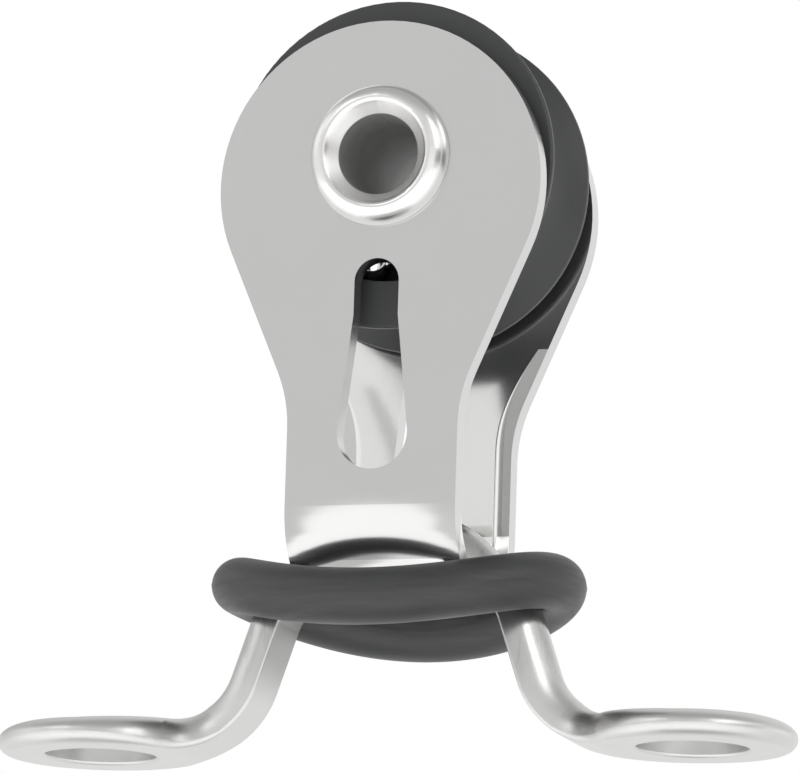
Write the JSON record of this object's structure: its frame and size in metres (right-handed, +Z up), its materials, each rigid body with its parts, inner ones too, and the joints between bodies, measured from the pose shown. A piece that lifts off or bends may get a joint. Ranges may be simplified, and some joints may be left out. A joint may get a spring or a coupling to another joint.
{
  "type": "stand-up line block",
  "caption": "Stand-up line block with a grooved ball-bearing sheave between two cheeks, on a bow saddle with two screw eyes, held upright by a rubber ring.",
  "frame": {"origin": "on the deck plane under the feet, midway between the two screw holes", "axes": "+Z up from the deck, X through the two screw holes, Y along the sheave's axle"},
  "size_m": [0.0368, 0.0132, 0.0338],
  "materials": {
    "saddle_steel": "polished",
    "strap_steel": "polished",
    "rivet_steel": "polished",
    "hub_steel": "satin",
    "ball_steel": "polished",
    "sheave_plastic": "satin",
    "ring_rubber": "matte"
  },
  "bodies": {
    "saddle": {"saddle": "saddle_steel", "ring": "ring_rubber"},
    "block": {"strap": "strap_steel", "axle_tube": "rivet_steel", "hub": "hub_steel"},
    "sheave": {"sheave": "sheave_plastic"},
    "front_row": {"front_ball_01": "ball_steel", "front_ball_02": "ball_steel", "front_ball_03": "ball_steel", "front_ball_04": "ball_steel", "front_ball_05": "ball_steel", "front_ball_06": "ball_steel", "front_ball_07": "ball_steel", "front_ball_08": "ball_steel", "front_ball_09": "ball_steel", "front_ball_10": "ball_steel", "front_ball_11": "ball_steel", "front_ball_12": "ball_steel", "front_ball_13": "ball_steel"},
    "rear_row": {"rear_ball_01": "ball_steel", "rear_ball_02": "ball_steel", "rear_ball_03": "ball_steel", "rear_ball_04": "ball_steel", "rear_ball_05": "ball_steel", "rear_ball_06": "ball_steel", "rear_ball_07": "ball_steel", "rear_ball_08": "ball_steel", "rear_ball_09": "ball_steel", "rear_ball_10": "ball_steel", "rear_ball_11": "ball_steel", "rear_ball_12": "ball_steel", "rear_ball_13": "ball_steel"}
  },
  "joints": [
    {"name": "block_tilt", "type": "hinge", "parent": "saddle", "child": "block", "pos_m": [0, 0, 0.01042], "axis": [1, 0, 0], "range_deg": [-20, 20], "stiffness_Nm_per_rad": 0.02, "deforming": ["ring"]},
    {"name": "sheave_spin", "type": "hinge", "parent": "block", "child": "sheave", "pos_m": [0, 0, 0.02625], "axis": [0, 1, 0], "continuous": true},
    {"name": "front_row_orbit", "type": "hinge", "parent": "block", "child": "front_row", "pos_m": [0, 0, 0.02625], "axis": [0, 1, 0], "continuous": true},
    {"name": "rear_row_orbit", "type": "hinge", "parent": "block", "child": "rear_row", "pos_m": [0, 0, 0.02625], "axis": [0, 1, 0], "continuous": true}
  ],
  "couplings": [
    {"joint": "front_row_orbit", "follows": "sheave_spin", "ratio": 0.6147},
    {"joint": "rear_row_orbit", "follows": "sheave_spin", "ratio": 0.6147}
  ]
}
